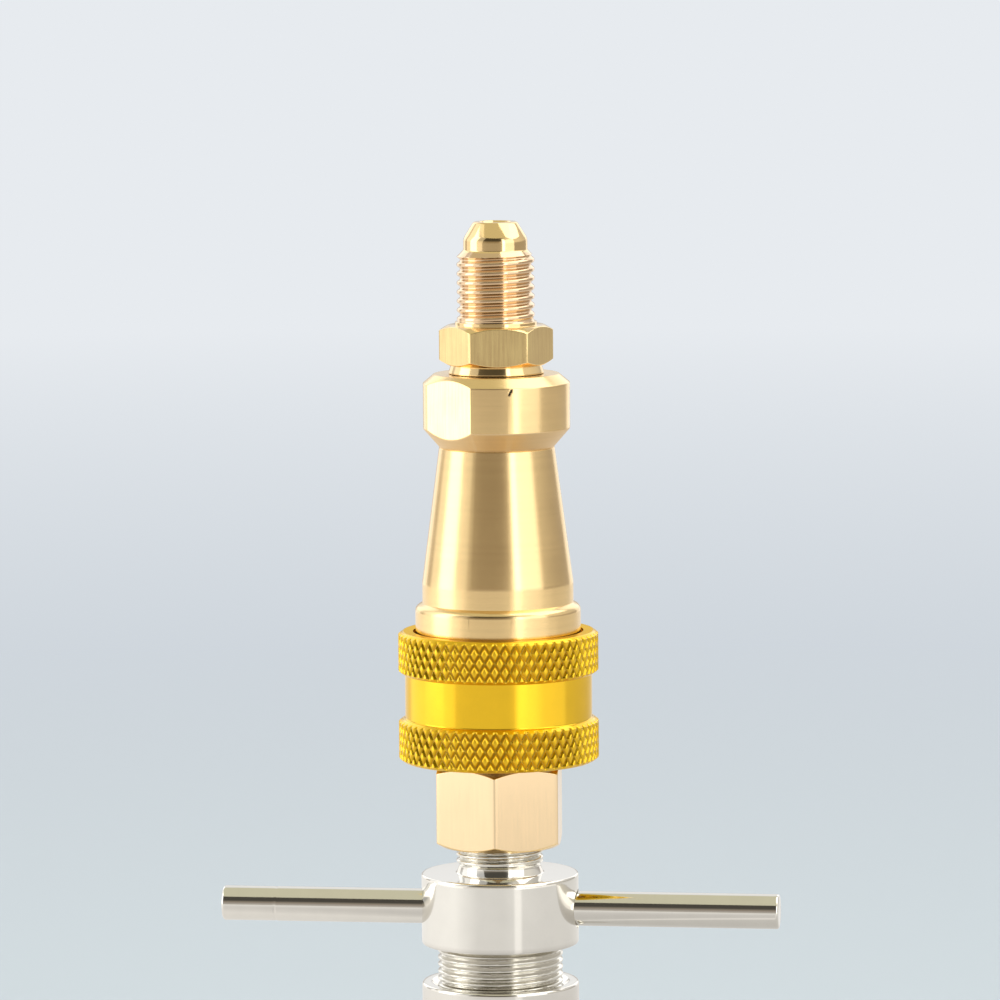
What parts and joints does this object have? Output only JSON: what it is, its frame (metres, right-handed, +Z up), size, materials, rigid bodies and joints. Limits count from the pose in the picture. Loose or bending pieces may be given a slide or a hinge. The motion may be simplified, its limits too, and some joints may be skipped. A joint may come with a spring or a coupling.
{
  "type": "refrigerant quick coupler",
  "caption": "Brass ball-lock quick coupler with a male flare and a knurled sleeve, plugged on a nipple of a tee-handled screw clamp that seals on a copper process tube.",
  "frame": {"origin": "on the common axis at the bottom face of the clamp barrel", "axes": "+Z up the common axis towards the flare, +X along the right handle"},
  "size_m": [0.0808, 0.0286, 0.14],
  "materials": {
    "brass": "satin turned brass",
    "anodised_gold": "yellow anodised, knurled",
    "nickel_plate": "bright nickel plate",
    "spring_steel": "bright steel",
    "seal_rubber": "matt black rubber",
    "gasket_polymer": "matt white polymer"
  },
  "bodies": {
    "clamp_barrel": {"clamp_barrel": "nickel_plate", "tube_seal": "seal_rubber"},
    "seal_follower": {"seal_follower": "brass"},
    "tee_screw": {"tee_screw": "nickel_plate", "handle_left": "nickel_plate", "handle_right": "nickel_plate", "stem_gasket": "gasket_polymer", "plug_nipple": "brass"},
    "coupler": {"socket_body": "brass", "flare_adapter": "brass", "adapter_o_ring": "seal_rubber", "valve_guide": "brass", "poppet_spring": "spring_steel", "socket_o_ring": "seal_rubber", "locking_balls": "spring_steel", "sleeve_spring": "spring_steel", "snap_ring": "spring_steel"},
    "lock_sleeve": {"lock_sleeve": "anodised_gold"},
    "poppet": {"poppet_valve": "brass", "poppet_seal": "seal_rubber"}
  },
  "joints": [
    {"name": "screw_travel", "type": "slide", "parent": "clamp_barrel", "child": "seal_follower", "axis": [0, 0, 1], "range_m": [-0.002, 0.002], "deforming": ["tube_seal"]},
    {"name": "screw_turn", "type": "hinge", "parent": "seal_follower", "child": "tee_screw", "pos_m": [0, 0, 0.04115], "axis": [0, 0, 1], "range_deg": [-721, 721]},
    {"name": "coupler_swivel", "type": "hinge", "parent": "tee_screw", "child": "coupler", "pos_m": [0, 0, 0.06774], "axis": [0, 0, 1], "continuous": true},
    {"name": "sleeve_slide", "type": "slide", "parent": "coupler", "child": "lock_sleeve", "axis": [0, 0, 1], "range_m": [0, 0.0044], "stiffness_N_per_m": 1500, "springref_m": -0.004, "deforming": ["sleeve_spring"]},
    {"name": "poppet_slide", "type": "slide", "parent": "coupler", "child": "poppet", "axis": [0, 0, 1], "range_m": [0, 0.002], "stiffness_N_per_m": 800, "springref_m": -0.006, "deforming": ["poppet_spring"]}
  ],
  "couplings": [
    {"joint": "screw_turn", "follows": "screw_travel", "rad_per_m": 6283.2}
  ]
}
